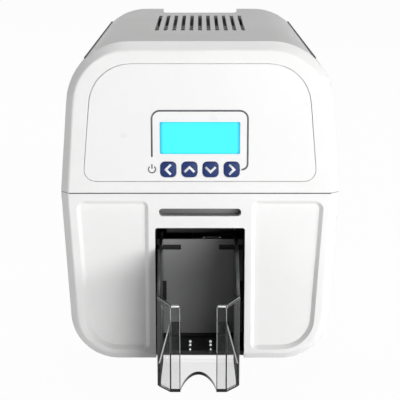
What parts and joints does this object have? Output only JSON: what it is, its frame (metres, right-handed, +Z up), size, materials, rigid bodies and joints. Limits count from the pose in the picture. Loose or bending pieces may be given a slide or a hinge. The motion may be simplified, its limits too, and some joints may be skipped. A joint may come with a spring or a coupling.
{
  "type": "id card printer",
  "caption": "Desktop card printer with an arched top cover that opens at the rear, a control panel, a clear stacker tray in a front bay and a rear card hopper.",
  "frame": {"origin": "centre of the bounding box, on the surface under the feet", "axes": "+X to the right of someone facing the printer, +Y from the face to the rear, +Z up"},
  "size_m": [0.216, 0.45, 0.256],
  "materials": {
    "white_shell": "satin",
    "inner_white": "satin",
    "dark_plastic": "fine grain",
    "switch_black": "gloss",
    "spool_plastic": "satin",
    "foot_rubber": "matt",
    "roller_rubber": "ground",
    "cleaning_rubber": "tacky",
    "gear_plastic": "moulded",
    "pinion_brass": "machined",
    "chassis_steel": "zinc plated",
    "pin_steel": "polished",
    "socket_steel": "plated",
    "motor_steel": "satin",
    "sink_aluminium": "extruded",
    "head_ceramic": "glazed",
    "board_green": "solder mask",
    "ribbon_film": "gloss film",
    "smoked_clear": "clear smoked",
    "key_blue": "satin",
    "lcd_glow": "back-lit"
  },
  "bodies": {
    "case": {"lower_case": "white_shell", "base_plate": "chassis_steel", "rubber_feet": "foot_rubber", "bay_liner": "dark_plastic", "chassis_left": "chassis_steel", "chassis_right": "chassis_steel", "card_bed": "dark_plastic", "rear_hood": "white_shell", "main_board": "board_green", "usb_socket": "socket_steel", "network_socket": "socket_steel", "power_inlet": "dark_plastic", "fan_frame": "dark_plastic", "feed_motor": "motor_steel", "striker_plate": "chassis_steel", "feeder_housing": "white_shell"},
    "cover": {"top_cover": "white_shell", "lid_liner": "inner_white", "control_fascia": "white_shell", "lcd_window": "lcd_glow", "lcd_module": "dark_plastic", "keypad_board": "board_green", "head_bracket": "chassis_steel", "print_head": "head_ceramic", "heat_sink": "sink_aluminium", "hinge_pins": "pin_steel", "lid_magnet": "motor_steel"},
    "left_key": {"key_left": "key_blue"},
    "up_key": {"key_up": "key_blue"},
    "down_key": {"key_down": "key_blue"},
    "right_key": {"key_right": "key_blue"},
    "pinch": {"exit_pinch": "roller_rubber"},
    "exit_drive": {"exit_roller": "roller_rubber", "exit_gear": "gear_plastic"},
    "platen_drive": {"platen_roller": "roller_rubber", "platen_gear": "gear_plastic"},
    "feed_drive": {"feed_roller": "roller_rubber", "feed_gear": "gear_plastic"},
    "infeed_drive": {"infeed_roller": "roller_rubber", "infeed_gear": "gear_plastic"},
    "pick_drive": {"pick_roller": "roller_rubber", "pick_gear": "gear_plastic"},
    "first_idler": {"idler_one": "gear_plastic"},
    "second_idler": {"idler_two": "gear_plastic"},
    "third_idler": {"idler_three": "gear_plastic"},
    "fourth_idler": {"idler_four": "gear_plastic"},
    "motor_shaft": {"feed_pinion": "pinion_brass"},
    "cleaner": {"cleaning_roller": "cleaning_rubber"},
    "supply": {"supply_spool": "spool_plastic", "supply_film": "ribbon_film"},
    "takeup": {"takeup_spool": "spool_plastic", "takeup_film": "ribbon_film"},
    "rocker": {"power_rocker": "switch_black"},
    "rotor": {"fan_rotor": "dark_plastic"},
    "tray": {"stacker_tray": "smoked_clear"},
    "hopper_lid": {"feeder_lid": "white_shell"},
    "weight": {"card_weight": "dark_plastic"}
  },
  "joints": [
    {"name": "cover_hinge", "type": "hinge", "parent": "case", "child": "cover", "pos_m": [0, 0.11, 0.1485], "axis": [-1, 0, 0], "range_deg": [0, 60]},
    {"name": "platen_spin", "type": "hinge", "parent": "case", "child": "platen_drive", "pos_m": [0, -0.039, 0.097], "axis": [1, 0, 0], "continuous": true},
    {"name": "exit_spin", "type": "hinge", "parent": "case", "child": "exit_drive", "pos_m": [0, -0.095, 0.097], "axis": [1, 0, 0], "continuous": true},
    {"name": "feed_spin", "type": "hinge", "parent": "case", "child": "feed_drive", "pos_m": [0, 0.017, 0.097], "axis": [1, 0, 0], "continuous": true},
    {"name": "infeed_spin", "type": "hinge", "parent": "case", "child": "infeed_drive", "pos_m": [0, 0.073, 0.097], "axis": [1, 0, 0], "continuous": true},
    {"name": "pick_spin", "type": "hinge", "parent": "case", "child": "pick_drive", "pos_m": [0, 0.129, 0.097], "axis": [1, 0, 0], "continuous": true},
    {"name": "first_idler_spin", "type": "hinge", "parent": "case", "child": "first_idler", "pos_m": [0, -0.067, 0.097], "axis": [1, 0, 0], "continuous": true},
    {"name": "second_idler_spin", "type": "hinge", "parent": "case", "child": "second_idler", "pos_m": [0, -0.011, 0.097], "axis": [1, 0, 0], "continuous": true},
    {"name": "third_idler_spin", "type": "hinge", "parent": "case", "child": "third_idler", "pos_m": [0, 0.045, 0.097], "axis": [1, 0, 0], "continuous": true},
    {"name": "fourth_idler_spin", "type": "hinge", "parent": "case", "child": "fourth_idler", "pos_m": [0, 0.101, 0.097], "axis": [1, 0, 0], "continuous": true},
    {"name": "motor_spin", "type": "hinge", "parent": "case", "child": "motor_shaft", "pos_m": [0, -0.011, 0.073], "axis": [1, 0, 0], "continuous": true},
    {"name": "cleaner_spin", "type": "hinge", "parent": "case", "child": "cleaner", "pos_m": [0, 0.073, 0.1112], "axis": [1, 0, 0], "continuous": true},
    {"name": "supply_spin", "type": "hinge", "parent": "case", "child": "supply", "pos_m": [0, -0.001, 0.131], "axis": [1, 0, 0], "continuous": true},
    {"name": "takeup_spin", "type": "hinge", "parent": "case", "child": "takeup", "pos_m": [0, -0.077, 0.131], "axis": [1, 0, 0], "continuous": true},
    {"name": "pinch_spin", "type": "hinge", "parent": "cover", "child": "pinch", "pos_m": [0, -0.095, 0.1097], "axis": [1, 0, 0], "continuous": true},
    {"name": "rotor_spin", "type": "hinge", "parent": "case", "child": "rotor", "pos_m": [0.073, 0.107, 0.05], "axis": [0, 1, 0], "continuous": true},
    {"name": "rocker_tilt", "type": "hinge", "parent": "case", "child": "rocker", "pos_m": [-0.0795, 0.114, 0.05], "axis": [1, 0, 0], "range_deg": [0, 16]},
    {"name": "tray_slide", "type": "slide", "parent": "case", "child": "tray", "axis": [0, -1, 0], "range_m": [0, 0.09]},
    {"name": "hopper_lid_hinge", "type": "hinge", "parent": "case", "child": "hopper_lid", "pos_m": [0, 0.2163, 0.1862], "axis": [-1, 0, 0], "range_deg": [0, 105]},
    {"name": "weight_slide", "type": "slide", "parent": "case", "child": "weight", "axis": [0, 0, 1], "range_m": [0, 0.07]},
    {"name": "left_press", "type": "slide", "parent": "cover", "child": "left_key", "axis": [0, 1, 0], "range_m": [0, 0.0008], "stiffness_N_per_m": 400, "springref_m": -0.001},
    {"name": "up_press", "type": "slide", "parent": "cover", "child": "up_key", "axis": [0, 1, 0], "range_m": [0, 0.0008], "stiffness_N_per_m": 400, "springref_m": -0.001},
    {"name": "down_press", "type": "slide", "parent": "cover", "child": "down_key", "axis": [0, 1, 0], "range_m": [0, 0.0008], "stiffness_N_per_m": 400, "springref_m": -0.001},
    {"name": "right_press", "type": "slide", "parent": "cover", "child": "right_key", "axis": [0, 1, 0], "range_m": [0, 0.0008], "stiffness_N_per_m": 400, "springref_m": -0.001}
  ],
  "couplings": [
    {"joint": "exit_spin", "follows": "platen_spin", "ratio": 1},
    {"joint": "feed_spin", "follows": "platen_spin", "ratio": 1},
    {"joint": "infeed_spin", "follows": "platen_spin", "ratio": 1},
    {"joint": "pick_spin", "follows": "platen_spin", "ratio": 1},
    {"joint": "first_idler_spin", "follows": "platen_spin", "ratio": -0.55556},
    {"joint": "second_idler_spin", "follows": "platen_spin", "ratio": -0.55556},
    {"joint": "third_idler_spin", "follows": "platen_spin", "ratio": -0.55556},
    {"joint": "fourth_idler_spin", "follows": "platen_spin", "ratio": -0.55556},
    {"joint": "motor_spin", "follows": "platen_spin", "ratio": 1.6667}
  ]
}
